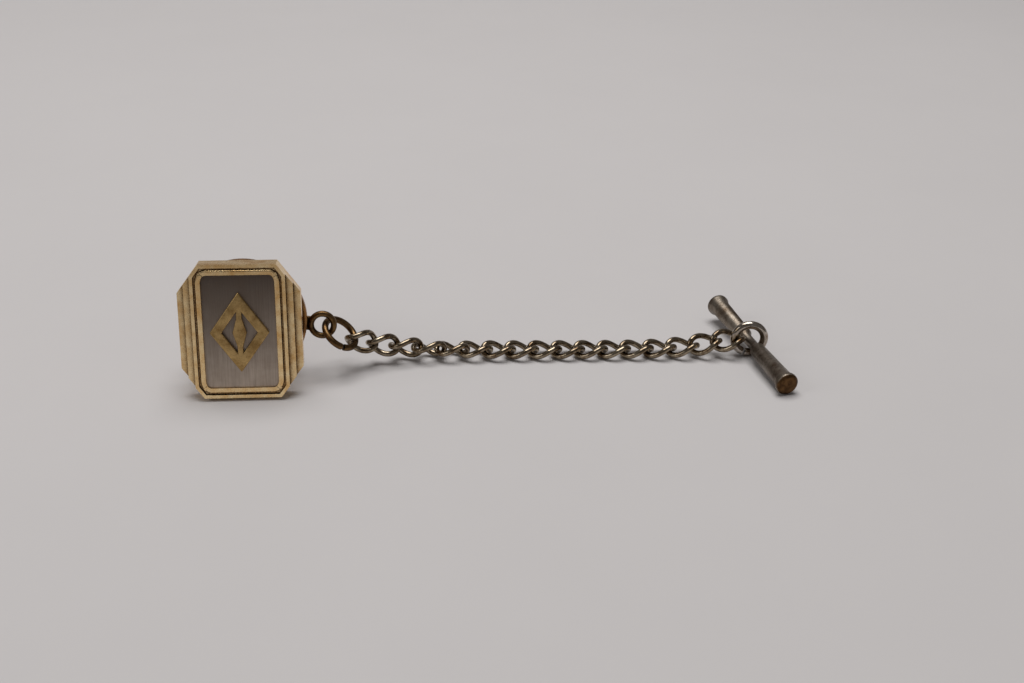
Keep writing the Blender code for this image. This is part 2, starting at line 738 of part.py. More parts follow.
def end_ring_frame(joints):
    """The end ring stands upright: X along the chain and Y up."""
    along = joints[-1] - joints[-2]
    level = Vector((along.x, along.y, 0.0)).normalized()
    centre = joints[-1] + level * (END_OUTER - 2 * END_WIRE - WIRE_PLAY / 2)
    centre.z = END_OUTER
    return frame_from(centre, level, Vector((0, 0, 1)))


# Toggle bar -------------------------------------------------------------------------------------------
def toggle_profile():
    """Half of the bar, from one end's middle to the other's: lips, tapers, shoulders and neck."""
    half, neck = TOGGLE_LENGTH / 2, TOGGLE_NECK_LENGTH / 2
    lip = half - TOGGLE_LIP_LENGTH
    side = [(TOGGLE_LIP_RADIUS - TOGGLE_CHAMFER, half), (TOGGLE_LIP_RADIUS, half - TOGGLE_CHAMFER),
            (TOGGLE_LIP_RADIUS, lip), (TOGGLE_BODY_RADIUS, lip - TOGGLE_LIP_LENGTH),
            (TOGGLE_SHOULDER_RADIUS, neck + TOGGLE_LIP_LENGTH), (TOGGLE_NECK_RADIUS, neck)]
    mirrored = [(radius, -z) for radius, z in reversed(side)]
    return [(0.0, half)] + side + mirrored + [(0.0, -half)]


def toggle_frame(ring):
    """The bar's neck lies in the ring; its near end rests on the surface. Z runs towards the near end."""
    along = ring.to_3x3() @ Vector((1, 0, 0))
    neck = ring.translation + along * TOGGLE_SIT.x + Vector((0, 0, TOGGLE_SIT.z))
    half = TOGGLE_LENGTH / 2 - TOGGLE_CHAMFER
    dip = math.asin(min(1.0, (neck.z - TOGGLE_LIP_RADIUS) / half))
    turn = Matrix.Rotation(TOGGLE_TURN, 4, "Z")
    return Matrix.Translation(neck) @ turn @ Matrix.Rotation(math.pi / 2 + dip, 4, "X")


def toggle_bar(ring, parent):
    """The bar hangs on an empty in the middle of its neck."""
    bar = turned("toggle_bar", toggle_profile(), 24)
    return finish(bar, make_pivot("toggle_bar", toggle_frame(ring), parent), STEEL, 0.45)


# Assembly ---------------------------------------------------------------------------------------------
def stand_tack(root):
    """An empty that stands the tack on the head's lower edge and the rim of the clutch."""
    height = HEAD_HEIGHT / 2 * math.cos(LEAN)
    return make_empty("post_axis", root, (0, 0, height), (math.pi / 2 - LEAN, 0, TACK_TURN))


def make_head(parent):
    face_shell(parent)
    inlay_panel(parent)
    ornament(parent)
    back_plate(parent)
    post_pad(parent)
    tack_post(parent)


def make_clutch(parent):
    guide_bush(parent)
    clutch_disc(parent)
    clutch_housing(parent)
    wedge_ring(parent)
    clutch_spring(parent)
    eyelet(parent)
    ball_cage(parent)
    for index in range(BALL_COUNT):
        locking_ball(index, parent)
    release_knob(parent)


def make_chain(tack, root):
    """Everything from the jump ring to the toggle bar, in the axes of the root empty."""
    jump = jump_ring_frame(tack)
    swing_x = EYELET_WIRE + 2 * JUMP_WIRE + WIRE_PLAY - JUMP_OUTER
    open_ring("jump_ring", JUMP_OUTER, JUMP_WIRE, JUMP_CUT_AT, jump, swing_x, root, STEEL_DARK)
    joints = chain_joints(chain_start(jump))
    curb_links(joints, root)
    ring = end_ring_frame(joints)
    swing_x = 2 * END_WIRE + WIRE_PLAY / 2 - END_OUTER
    open_ring("end_ring", END_OUTER, END_WIRE, END_CUT_AT, ring, swing_x, root, STEEL)
    toggle_bar(ring, root)


def centre_on_base(root):
    """Move everything so that the world's origin is the bottom centre of the whole object."""
    bpy.context.view_layer.update()
    corners = [item.matrix_world @ vertex.co for item in bpy.data.collections[TACK].objects
               if item.type == "MESH" for vertex in item.data.vertices]
    low = Vector([min(corner[axis] for corner in corners) for axis in range(3)])
    high = Vector([max(corner[axis] for corner in corners) for axis in range(3)])
    root.location = -Vector(((low.x + high.x) / 2, (low.y + high.y) / 2, low.z))
    bpy.context.view_layer.update()


def build():
    clear_scene()
    make_collection(TACK)
    root = make_empty("tie_tack_base")
    tack = stand_tack(root)
    bpy.context.view_layer.update()
    make_head(tack)
    make_clutch(tack)
    make_chain(tack, root)
    centre_on_base(root)


build()
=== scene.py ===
# %% [markdown]
# # A tie tack with a safety chain
# A gilt head is pinned through a tie on a pointed post, a clutch grips the post behind the shirt, and a
# curb chain ends in a toggle bar that goes through a buttonhole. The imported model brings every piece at
# its real size and place. This lesson remakes the pieces that show, with fine edges, and gives all of
# them the metals of a tack that has been worn for years.

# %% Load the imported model
import json
import math

import bmesh
import bpy
import numpy as np
from mathutils import Matrix, Vector


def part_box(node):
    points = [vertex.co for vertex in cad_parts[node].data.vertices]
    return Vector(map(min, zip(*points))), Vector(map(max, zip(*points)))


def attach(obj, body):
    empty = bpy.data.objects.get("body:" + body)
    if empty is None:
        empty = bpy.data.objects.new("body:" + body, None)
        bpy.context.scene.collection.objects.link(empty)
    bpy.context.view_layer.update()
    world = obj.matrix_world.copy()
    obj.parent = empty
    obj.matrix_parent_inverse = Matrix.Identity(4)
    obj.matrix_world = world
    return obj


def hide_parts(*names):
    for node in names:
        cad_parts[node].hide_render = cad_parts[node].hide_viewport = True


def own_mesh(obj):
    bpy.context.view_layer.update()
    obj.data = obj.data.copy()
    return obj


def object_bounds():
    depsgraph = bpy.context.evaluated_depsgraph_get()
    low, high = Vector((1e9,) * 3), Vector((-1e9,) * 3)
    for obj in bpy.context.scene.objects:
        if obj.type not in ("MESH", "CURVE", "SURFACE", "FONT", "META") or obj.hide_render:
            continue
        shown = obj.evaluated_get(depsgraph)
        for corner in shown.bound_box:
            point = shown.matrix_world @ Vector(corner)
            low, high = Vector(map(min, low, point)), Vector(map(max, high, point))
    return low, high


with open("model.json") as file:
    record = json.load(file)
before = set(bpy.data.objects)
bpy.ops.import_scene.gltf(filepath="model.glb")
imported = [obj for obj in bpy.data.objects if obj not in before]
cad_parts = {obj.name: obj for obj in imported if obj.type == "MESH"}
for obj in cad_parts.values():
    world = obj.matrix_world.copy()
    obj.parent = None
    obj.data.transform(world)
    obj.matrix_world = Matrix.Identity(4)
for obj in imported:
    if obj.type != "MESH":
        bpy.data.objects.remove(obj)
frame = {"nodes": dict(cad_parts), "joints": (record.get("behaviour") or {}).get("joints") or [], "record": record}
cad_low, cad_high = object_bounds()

MM = 0.001
joints = {joint["name"]: joint for joint in frame["joints"]}
mounts = {mount["name"]: mount for mount in frame["record"]["mounts"]}

# %% [markdown]
# ## The tack's own axes
# The head leans back on the rim of its clutch, so nothing on it is square to the world. It is easier to
# model each piece lying flat, in millimetres, and to put it in place with one matrix at the end. The
# clutch turns about the post, so that joint's axis is the way out of the face, and the flat tie side of
# the head is where this lesson counts Z from.

# %% Find the tack's axes
def tack_axes():
    out = Vector(joints["clutch_turn"]["axis"]).normalized()
    across = Vector((0, 0, 1)).cross(out).normalized()
    on_post = Vector(joints["clutch_turn"]["pos_m"])
    tie_side = Vector(mounts["tie_side_of_head"]["pos_m"])
    origin = on_post + out * (tie_side - on_post).dot(out)
    turn = Matrix((across, out.cross(across), out)).transposed().to_4x4()
    return Matrix.Translation(origin) @ turn


TACK = tack_axes()
print("lean of the head", round(math.degrees(math.asin(TACK.col[2].z)), 2), "degrees")

# %% [markdown]
# ## Camera
# The head is seen a little from the right and from above, and the bar lies far to the right, so the
# camera stands in front of the middle of the chain with a normal 50 mm lens. Its place is measured from
# the lower front edge of the head. A camera held in the hand is never quite level, so it leans a degree.

# %% Make the camera
HEAD_HEIGHT = 12.4
HEAD_DEPTH = 1.7
CAMERA_FROM_HEAD = Vector((24.2, -111.6, 64.3)) * MM
CAMERA_DOWN = math.radians(27.5)
CAMERA_ROLL = math.radians(0.95)


def make_camera():
    foot = TACK @ (Vector((0, -HEAD_HEIGHT / 2, HEAD_DEPTH)) * MM)
    turn = Matrix.Rotation(math.pi / 2 - CAMERA_DOWN, 3, "X") @ Matrix.Rotation(CAMERA_ROLL, 3, "Z")
    bpy.ops.object.camera_add(location=foot + CAMERA_FROM_HEAD, rotation=turn.to_euler())
    camera = bpy.context.active_object
    camera.data.lens = 50
    camera.data.sensor_width = 36
    camera.data.clip_start = 0.005
    camera.data.clip_end = 10
    bpy.context.scene.camera = camera
    return camera


camera = make_camera()
print("camera", [round(value / MM, 1) for value in camera.location], "mm")

# %% [markdown]
# ## Working in edit mode
# Operators act on whatever is selected. These small helpers start a piece from the primitive that was
# just added, choose faces by where they are and which way they face, and hand the finished piece over:
# its place goes into its mesh, it rides on its body and it stands for its plain CAD node.

# %% Helpers for edit mode
def begin(name):
    """Name the primitive that was just added and open it with everything selected."""
    piece = bpy.context.active_object
    piece.name = piece.data.name = name
    bpy.ops.object.mode_set(mode="EDIT")
    bpy.ops.mesh.select_mode(type="FACE")
    bpy.ops.mesh.select_all(action="SELECT")
    return piece


def pick(piece, test):
    """Select only the faces whose centre and normal pass the test."""
    bpy.ops.mesh.select_mode(type="FACE")
    bpy.ops.mesh.select_all(action="DESELECT")
    cage = bmesh.from_edit_mesh(piece.data)
    for face in cage.faces:
        if test(face.calc_center_median(), face.normal):
            face.select_set(True)
    bmesh.update_edit_mesh(piece.data)


def resize(x, y, z):
    bpy.ops.transform.resize(value=(x, y, z), center_override=(0, 0, 0))


def move(x, y, z):
    bpy.ops.transform.translate(value=(x, y, z))


def extrude(x, y, z):
    bpy.ops.mesh.extrude_region_move(TRANSFORM_OT_translate={"value": (x, y, z)})


def inset(width):
    bpy.ops.mesh.inset(thickness=width, use_even_offset=True)


def cut(point, normal, away=False):
    """Cut the selection with a plane; with away, the far side goes and the hole is closed."""
    bpy.ops.mesh.select_all(action="SELECT")
    bpy.ops.mesh.bisect(plane_co=point, plane_no=normal, use_fill=away, clear_outer=away,
                        threshold=0.0001)


def soften(piece, width, segments=2, angle=40):
    """Round every edge sharper than the angle, as wear and polishing do."""
    bevel = piece.modifiers.new("soften", "BEVEL")
    bevel.width = width
    bevel.segments = segments
    bevel.limit_method = "ANGLE"
    bevel.angle_limit = math.radians(angle)
    bevel.harden_normals = False
    bpy.ops.object.modifier_apply(modifier="soften")


def hand_over(piece, place, body, finish, nodes=(), soft=0.0, segments=2, smooth_below=40):
    """Soften the edges, set the piece in place in metres and let it ride."""
    if bpy.context.mode != "OBJECT":
        bpy.ops.object.mode_set(mode="OBJECT")
    bpy.ops.object.select_all(action="DESELECT")
    piece.select_set(True)
    bpy.context.view_layer.objects.active = piece
    if soft:
        soften(piece, soft, segments)
    piece.matrix_world = place @ Matrix.Scale(MM, 4) @ piece.matrix_world
    bpy.ops.object.transform_apply(location=True, rotation=True, scale=True)
    bpy.ops.object.shade_smooth_by_angle(angle=math.radians(smooth_below))
    piece.data.materials.clear()
    piece.data.materials.append(finish)
    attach(piece, body)
    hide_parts(*nodes)
    bpy.ops.object.select_all(action="DESELECT")
    print(piece.name, len(piece.data.polygons), "faces on", body)
    return piece


bpy.ops.object.select_all(action="DESELECT")

# %% [markdown]
# ## A node helper and colours
# Every metal here is made of a few nodes: noise for patches, ambient occlusion for the grime that stays in
# corners and for painted shade there, and a bump. One function adds a node with its settings and links. Colours
# are written as the hex values that a colour picker shows, and one function turns them into Blender's linear
# values.

# %% Helpers for materials
def linear(hex_value):
    """Turn an sRGB hex colour into linear RGBA."""
    parts = [int(hex_value[start:start + 2], 16) / 255 for start in (0, 2, 4)]
    return (*[part / 12.92 if part <= 0.04045 else ((part + 0.055) / 1.055) ** 2.4 for part in parts], 1.0)


def node(material, kind, inputs, **settings):
    """Add a node; an input is either a value or another node's output socket."""
    made = material.node_tree.nodes.new("ShaderNode" + kind)
    for name, value in settings.items():
        setattr(made, name, value)
    for name, value in inputs.items():
        if isinstance(value, bpy.types.NodeSocket):
            material.node_tree.links.new(value, made.inputs[name])
        else:
            made.inputs[name].default_value = value
    return made


def per_mm(size_mm):
    """Noise scale for spots of about this size, on coordinates in metres."""
    return 1.0 / (size_mm * MM)


def mixed(material, share, low, high):
    """One colour blended into another; each is a hex colour or a socket."""
    sides = [linear(side) if isinstance(side, str) else side for side in (low, high)]
    made = node(material, "Mix", {"Factor": share}, data_type="RGBA")
    for socket, side in zip((made.inputs[6], made.inputs[7]), sides):
        if isinstance(side, bpy.types.NodeSocket):
            material.node_tree.links.new(side, socket)
        else:
            socket.default_value = side
    return made.outputs[2]


def spread(material, value, from_low, from_high, to_low, to_high):
    """Stretch part of a value's range to another range."""
    made = node(material, "MapRange", {"Value": value, "From Min": from_low, "From Max": from_high,
                                       "To Min": to_low, "To Max": to_high}, clamp=True)
    return made.outputs["Result"]


def start_metal(name):
    """A new metal: its material, its shader and the piece's own coordinates."""
    material = bpy.data.materials.new(name)
    material.use_nodes = True
    shader = material.node_tree.nodes["Principled BSDF"]
    shader.inputs["Metallic"].default_value = 1.0
    return material, shader, node(material, "TexCoord", {}).outputs["Object"]


def noise(material, where, size_mm, detail=4.0, roughness=0.6):
    made = node(material, "TexNoise", {"Vector": where, "Scale": per_mm(size_mm), "Detail": detail,
                                       "Roughness": roughness})
    return made.outputs["Fac"]


def corners(material, reach_mm, dark, light):
    """1 deep in corners and 0 on open metal, from how much of the sky a point sees."""
    seen = node(material, "AmbientOcclusion", {"Distance": reach_mm * MM}, samples=8, only_local=True)
    return spread(material, seen.outputs["AO"], dark, light, 1.0, 0.0)


def connect(material, shader, colour, rough, height, depth_mm):
    """Feed the shader its colour, its roughness and a bump as deep as the height says."""
    bump = node(material, "Bump", {"Height": height, "Strength": 1.0, "Distance": depth_mm * MM})
    for name, socket in (("Base Color", colour), ("Roughness", rough), ("Normal", bump.outputs[0])):
        material.node_tree.links.new(socket, shader.inputs[name])


# %% [markdown]
# ## Gold-plated brass
# The head is stamped from sheet brass and plated with a thin pale gold. Plate like this stays bright where
# fingers rub it, and goes brown in the grooves, where polish never reaches. So the colour follows the
# corners, broken up by noise, and the roughness rises where it is brown. That brown is also painted shade:
# the grooves are darkened in the colour as their shade would darken them.

# %% Gilt of the head
def gilt_plate():
    material, shader, where = start_metal("gold_plated_brass")
    patches = noise(material, where, 1.1)
    grain = noise(material, where, 0.12, detail=6.0)
    worn = mixed(material, spread(material, patches, 0.35, 0.7, 0.0, 1.0), "FBE0AE", "DDB173")
    # Painted shade and tarnish: ambient occlusion browns the grooves and corners, standing in for their shade as
    # well as for the tarnish in them.
    corner_shade_and_tarnish = corners(material, 0.7, 0.52, 0.92)
    broken = node(material, "Math", {0: corner_shade_and_tarnish, 1: spread(material, grain, 0.3, 0.7, 0.75, 1.3)},
                  operation="MULTIPLY", use_clamp=True).outputs[0]
    colour = mixed(material, broken, worn, "4A2B0F")
    rough = spread(material, grain, 0.3, 0.7, 0.2, 0.34)
    connect(material, shader, colour, rough, grain, 0.004)
    return material


GILT = gilt_plate()
print(GILT.name, len(GILT.node_tree.nodes), "nodes")

# %% [markdown]
# ## Brushed silvered sheet
# The inlay is a flat sheet rubbed in one direction with fine grit before it was plated. The strokes run up
# the face. They are about 0.03 mm wide, too fine to show, so they are drawn twice as coarse. Stretching
# the noise along the strokes needs the tack's own axes, which a Mapping node gives by turning the
# coordinates back.

# %% Brushed inlay
STROKE_WIDTH = 0.06
STROKE_LENGTH = 4.0


def on_tack(material, where, scale):
    """Coordinates along the head's own across, up and out, stretched by a scale."""
    back = TACK.inverted()
    turned = node(material, "Mapping", {"Vector": where, "Location": back.to_translation(),
                                        "Rotation": back.to_euler()})
    return node(material, "Mapping", {"Vector": turned.outputs[0], "Scale": scale}).outputs[0]


def brushed_sheet():
    material, shader, where = start_metal("brushed_silver_plate")
    strokes_at = on_tack(material, where, (1.0, STROKE_WIDTH / STROKE_LENGTH, 1.0))
    strokes = noise(material, strokes_at, STROKE_WIDTH, detail=3.0)
    cloud = noise(material, where, 1.6)
    # Painted shade: the sheet is darker towards the top of the face and lighter towards its bottom, standing in
    # for the darker reflection that lies over its top.
    height = node(material, "SeparateXYZ", {"Vector": on_tack(material, where, (1.0, 1.0, 1.0))})
    up = spread(material, height.outputs["Y"], -5.0 * MM, 5.0 * MM, 0.0, 1.0)
    tone = mixed(material, up, "C4B6A8", "74685F")
    clouded = mixed(material, spread(material, cloud, 0.35, 0.75, 0.0, 0.35), tone, "7A6656")
    lined = mixed(material, spread(material, strokes, 0.35, 0.65, 0.0, 0.22), clouded, "5F544E")
    # Painted shade and tarnish: ambient occlusion darkens the sheet along the bead and seat, where shade falls and
    # tarnish gathers.
    colour = mixed(material, corners(material, 0.5, 0.4, 0.95), lined, "3A2A1E")
    rough = spread(material, strokes, 0.3, 0.7, 0.38, 0.55)
    connect(material, shader, colour, rough, strokes, 0.003)
    return material


BRUSHED = brushed_sheet()
print(BRUSHED.name, len(BRUSHED.node_tree.nodes), "nodes")

# %% [markdown]
# ## The other metals
# The ornament has lost most of its polish. The clutch was never lacquered, so its brass has gone brown and
# coppery, darkest in its corners and round the rings, where grime is rubbed in and where shade is painted in. The
# chain and rings are nickel-plated wire that has yellowed and is darker between the links, with tarnish and with
# painted shade, and the bar is the same plate, dulled and stained. They differ in colours, in the size of their
# patches and in how rough they are.

# %% Aged metals
def aged_metal(name, bright, worn, dark, patch_mm, rough_low, rough_high, reach_mm, stain=0.5):
    """Plate that turns from bright to worn in patches and to dark in its corners, with tarnish and painted shade.
    """
    material, shader, where = start_metal(name)
    patches = noise(material, where, patch_mm)
    grain = noise(material, where, patch_mm / 8, detail=6.0)
    base = mixed(material, spread(material, patches, 0.4, 0.68, 0.0, 1.0), bright, worn)
    # Painted shade and stains: fine stains from the grain, plus ambient occlusion that darkens corners and joints
    # between parts, partly as tarnish and partly as painted shade.
    spots = node(material, "Math", {0: spread(material, grain, 0.5, 0.75, 0.0, stain),
                                    1: corners(material, reach_mm, 0.35, 0.9)},
                 operation="ADD", use_clamp=True).outputs[0]
    colour = mixed(material, spots, base, dark)
    rough = spread(material, grain, 0.3, 0.7, rough_low, rough_high)
    connect(material, shader, colour, rough, grain, 0.004)
    return material


RELIEF = aged_metal("worn_gold_plate", "C2A36E", "97784A", "3A230E", 1.0, 0.34, 0.5, 0.35, 0.35)
BROWN_BRASS = aged_metal("brown_unlacquered_brass", "B0814F", "694B2F", "2A1710", 1.4, 0.26, 0.45, 0.6)
EYELET_BRASS = aged_metal("dark_bronzed_brass", "7A5E3C", "4A3622", "140C06", 0.7, 0.24, 0.42, 0.4)
CHAIN_PLATE = aged_metal("yellowed_nickel_plate", "A39580", "5A442D", "120A05", 0.8, 0.09, 0.24, 0.5, 0.5)
RING_PLATE = aged_metal("bright_nickel_plate", "C4BBB1", "7A6850", "1A1008", 1.2, 0.08, 0.2, 0.5, 0.35)
BAR_PLATE = aged_metal("dulled_nickel_plate", "8B8175", "5A4A3A", "24180E", 1.5, 0.32, 0.48, 0.4, 0.5)
BAR_END = aged_metal("stained_bar_end", "6B4F32", "3E2A1A", "180E08", 0.6, 0.35, 0.5, 0.3, 0.6)
POST_STEEL = aged_metal("drawn_post_steel", "C9C4BC", "A59E92", "3B3128", 1.2, 0.16, 0.28, 0.3, 0.2)
SPRING_STEEL = aged_metal("hard_spring_steel", "B9B9BA", "96938E", "35302B", 0.8, 0.14, 0.25, 0.2, 0.2)
print("metals", len(bpy.data.materials))

# %% [markdown]
# ## The head's shell
# The real shell is one stamping: two ribs step down at each side, a flat rim frames the front, and a
# groove and a round bead lead in to the inlay. It starts as a block the width of the frame. Its sides are
# cut level with each step and pulled out below the cut, which leaves a true step, and four slanting cuts
# take the corners off everything at once.

# %% Sizes of the head
HEAD_WIDTH = 10.9
CORNER_ACROSS = 2.0
CORNER_DOWN = 2.7
RIB_WIDTH = 0.62
RIB_STEP = 0.36
HEAD_WALL = 0.4
RIM_WIDTH = 0.3
GROOVE_WIDTH = 0.18
GROOVE_DEPTH = 0.2
BEAD_WIDTH = 0.32
INLAY_THICK = 0.3
INLAY_SINK = 0.12
SEAT = 0.03
FRAME_HALF = HEAD_WIDTH / 2 - 2 * RIB_WIDTH
INLAY_FLOOR = HEAD_DEPTH - INLAY_SINK - INLAY_THICK - SEAT


def block(name, width, height, low, high):
    """A box standing on Z = low."""
    bpy.ops.mesh.primitive_cube_add(size=1)
    piece = begin(name)
    resize(width, height, high - low)
    move(0, 0, (low + high) / 2)
    return piece


def cut_corners(inward=0.0):
    """Take off the four corners along the head's slanting edges, moved inward."""
    for side_x in (-1, 1):
        for side_y in (-1, 1):
            normal = Vector((side_x * CORNER_DOWN, side_y * CORNER_ACROSS, 0)).normalized()
            corner = Vector((side_x * (HEAD_WIDTH / 2 - CORNER_ACROSS), side_y * HEAD_HEIGHT / 2, 0))
            cut(corner - normal * inward, normal, away=True)


def from_rim(point):
    """How far a point lies inside the front frame's outline."""
    slant = Vector((CORNER_DOWN, CORNER_ACROSS)).normalized()
    corner = slant.dot(Vector((HEAD_WIDTH / 2 - CORNER_ACROSS, HEAD_HEIGHT / 2)))
    return min(FRAME_HALF - abs(point.x), HEAD_HEIGHT / 2 - abs(point.y),
               corner - slant.dot(Vector((abs(point.x), abs(point.y)))))


# %% Step and cut the shell
def stepped_block():
    shell = block("gilt_shell", 2 * FRAME_HALF, HEAD_HEIGHT, 0, HEAD_DEPTH)
    for step in (1, 2):
        level = HEAD_DEPTH - step * RIB_STEP
        cut((0, 0, level), (0, 0, 1))
        edge = FRAME_HALF + (step - 1) * RIB_WIDTH - 0.01
        for side in (-1, 1):
            pick(shell, lambda at, way: way.x * side > 0.9 and at.x * side > edge and at.z < level)
            extrude(side * RIB_WIDTH, 0, 0)
    cut_corners()
    return shell


shell = stepped_block()

# %% [markdown]
# The front is worked with insets, one for each band. The corners of the groove are rounded by beveling
# the points of the first inset, and every later inset follows them. The bead is the band between groove
# and inlay, with both its edges beveled until they meet in a half round.

# %% Groove, bead and seat
CORNER_ROUND = 0.5
MIDDLE = 2          # further in than any band
BEAD_ROUND = BEAD_WIDTH * 0.46


def front_band(shell, nearer, further=math.inf):
    """Pick the flat faces on the front that lie between two distances in from its outline."""
    pick(shell, lambda at, way: way.z > 0.9 and abs(at.z - HEAD_DEPTH) < 0.01
         and nearer < from_rim(at) < further)


def work_front(shell):
    front_band(shell, 0)
    inset(RIM_WIDTH)
    bpy.ops.mesh.select_mode(type="VERT")
    bpy.ops.mesh.bevel(offset=CORNER_ROUND, segments=6, affect="VERTICES")
    front_band(shell, MIDDLE)
    inset(GROOVE_WIDTH)
    front_band(shell, RIM_WIDTH + 0.01, MIDDLE)
    extrude(0, 0, -GROOVE_DEPTH)
    front_band(shell, MIDDLE)
    inset(BEAD_WIDTH)
    front_band(shell, RIM_WIDTH + GROOVE_WIDTH + 0.01, MIDDLE)
    bpy.ops.mesh.region_to_loop()
    bpy.ops.mesh.bevel(offset=BEAD_ROUND, segments=4, affect="EDGES")
    front_band(shell, MIDDLE)
    extrude(0, 0, INLAY_FLOOR - HEAD_DEPTH)


work_front(shell)

# %% Hollow the back
POCKET_DEPTH = 0.56
POST_ROOM = 0.22


def hollow_back(shell):
    pick(shell, lambda at, way: way.z < -0.9 and at.z < 0.01)
    bpy.ops.mesh.dissolve_faces()
    inset(HEAD_WALL)
    extrude(0, 0, POCKET_DEPTH)
    inset(2 * RIB_WIDTH + HEAD_WALL)
    extrude(0, 0, POST_ROOM)


hollow_back(shell)
hand_over(shell, TACK, "head", GILT, ["face_shell"], soft=0.055, segments=3)

# %% [markdown]
# ## The inlay and its ornament
# The inlay is a plain sheet with its corners clipped to the seat. The ornament is cut from sheet, laid on
# and soldered: a lozenge frame with a spine that swells in the middle. It starts as a circle of four
# points, which is a lozenge once it is stretched. An inset makes the frame, two cuts leave the spine
# between the two openings, and the middle of the spine is pulled wider.

# %% Inlay
def inlay_sheet():
    inward = RIM_WIDTH + GROOVE_WIDTH + BEAD_WIDTH + SEAT
    top = HEAD_DEPTH - INLAY_SINK
    sheet = block("inlay_sheet", 2 * (FRAME_HALF - inward), HEAD_HEIGHT - 2 * inward,
                  top - INLAY_THICK, top)
    cut_corners(inward)
    bpy.ops.mesh.select_all(action="DESELECT")
    bpy.ops.mesh.select_mode(type="EDGE")
    cage = bmesh.from_edit_mesh(sheet.data)
    for edge in cage.edges:
        edge.select_set(abs(edge.verts[0].co.z - edge.verts[1].co.z) > 0.1)
    bmesh.update_edit_mesh(sheet.data)
    bpy.ops.mesh.bevel(offset=0.2, segments=4, affect="EDGES", clamp_overlap=True)
    return sheet


hand_over(inlay_sheet(), TACK, "head", BRUSHED, ["inlay_panel"], soft=0.03)

# %% Ornament
ORNAMENT_WIDTH = 5.3
ORNAMENT_HEIGHT = 7.4
ORNAMENT_STROKE = 0.85
ORNAMENT_THICK = 0.32
SPINE_HALF = ORNAMENT_STROKE * 0.3
SWELL_HALF = ORNAMENT_STROKE * 0.75


def lozenge_ornament():
    bpy.ops.mesh.primitive_circle_add(vertices=4, radius=1, fill_type="NGON")
    piece = begin("lozenge_ornament")
    resize(ORNAMENT_WIDTH / 2, ORNAMENT_HEIGHT / 2, 1)
    inset(ORNAMENT_STROKE)
    for x in (-SPINE_HALF, SPINE_HALF):
        pick(piece, lambda at, way: abs(at.x) + abs(at.y) < 1.0)
        bpy.ops.mesh.bisect(plane_co=(x, 0, 0), plane_no=(1, 0, 0), threshold=0.0001)
    pick(piece, lambda at, way: abs(at.y) < 0.05 and SPINE_HALF < abs(at.x) < 1.2)
    bpy.ops.mesh.delete(type="FACE")
    for y in (-2 * SWELL_HALF, 0, 2 * SWELL_HALF):
        pick(piece, lambda at, way: abs(at.x) < 0.05)
        bpy.ops.mesh.bisect(plane_co=(0, y, 0), plane_no=(0, 1, 0), threshold=0.0001)
    bpy.ops.mesh.select_mode(type="VERT")
    bpy.ops.mesh.select_all(action="DESELECT")
    cage = bmesh.from_edit_mesh(piece.data)
    for vertex in cage.verts:
        vertex.select_set(abs(vertex.co.y) < 0.01 and abs(vertex.co.x) < SPINE_HALF + 0.01)
    bmesh.update_edit_mesh(piece.data)
    resize(SWELL_HALF / SPINE_HALF, 1, 1)
    bpy.ops.mesh.select_all(action="SELECT")
    extrude(0, 0, ORNAMENT_THICK)
    bpy.ops.mesh.select_all(action="SELECT")
    move(0, 0, HEAD_DEPTH - INLAY_SINK + SEAT)
    bpy.ops.mesh.normals_make_consistent(inside=False)
    return piece


hand_over(lozenge_ornament(), TACK, "head", RELIEF, ["ornament"], soft=0.1, segments=4)

# %% [markdown]
# ## Turned pieces
# The clutch, the post and the bar are all round, and on the real tack they come off a lathe. A lathe needs
# only half of a section: one point is extruded along the profile, and the line is spun once round. The
# doubles along the seam are merged, and so are those on the axis, which closes the solid.

# %% A lathe
def lathe(name, profile, steps=96):
    """Turn a profile of (radius, z) in millimetres; one that never meets the axis is closed on itself."""
    line = list(profile)
    if min(radius for radius, _ in line) > 0:
        line.append(line[0])
    bpy.ops.mesh.primitive_plane_add(size=1)
    piece = begin(name)
    bpy.ops.mesh.select_mode(type="VERT")
    bpy.ops.mesh.merge(type="CENTER")
    move(line[0][0], 0, line[0][1])
    for (radius, level), (next_radius, next_level) in zip(line, line[1:]):
        extrude(next_radius - radius, 0, next_level - level)
    bpy.ops.mesh.select_all(action="SELECT")
    bpy.ops.mesh.spin(steps=steps, angle=2 * math.pi, center=(0, 0, 0), axis=(0, 0, 1))
    bpy.ops.mesh.select_all(action="SELECT")
    bpy.ops.mesh.remove_doubles(threshold=0.001)
    bpy.ops.mesh.normals_make_consistent(inside=False)
    return piece


# %% [markdown]
# ## The clutch
# The disc is dished, with a raised lip that holds the tie. Behind it sit the drawn housing and the pull
# knob, whose grip is rounded. All of them have their edges softened, because sheet metal that was drawn
# or spun never has a sharp corner.

# %% Disc, housing and knob
TIE_GAP = 2.1
DISC_RADIUS = 5.7
DISC_LIP = 0.3
DISC_WEB = 0.35
LIP_WIDTH = 0.4
BUSH_HOLE = 0.95
HOUSING_RADIUS = 3.2
HOUSING_WALL = 0.25
HOUSING_LENGTH = 3.9
STEM_HOLE = 1.0
KNOB_RADIUS = 2.5
KNOB_REAR = -9.0
KNOB_WALL = 0.35
KNOB_WAIST = KNOB_RADIUS - 0.35
KNOB_EDGE = 0.4
KNOB_SOCKET = 0.98
DISC_FILLET = (0.15, 0.1)
DISC_REAR = -(TIE_GAP + DISC_LIP + DISC_WEB)
HOUSING_FRONT = DISC_REAR - SEAT
HOUSING_REAR = HOUSING_FRONT - HOUSING_LENGTH
KNOB_FRONT = HOUSING_REAR - 0.05


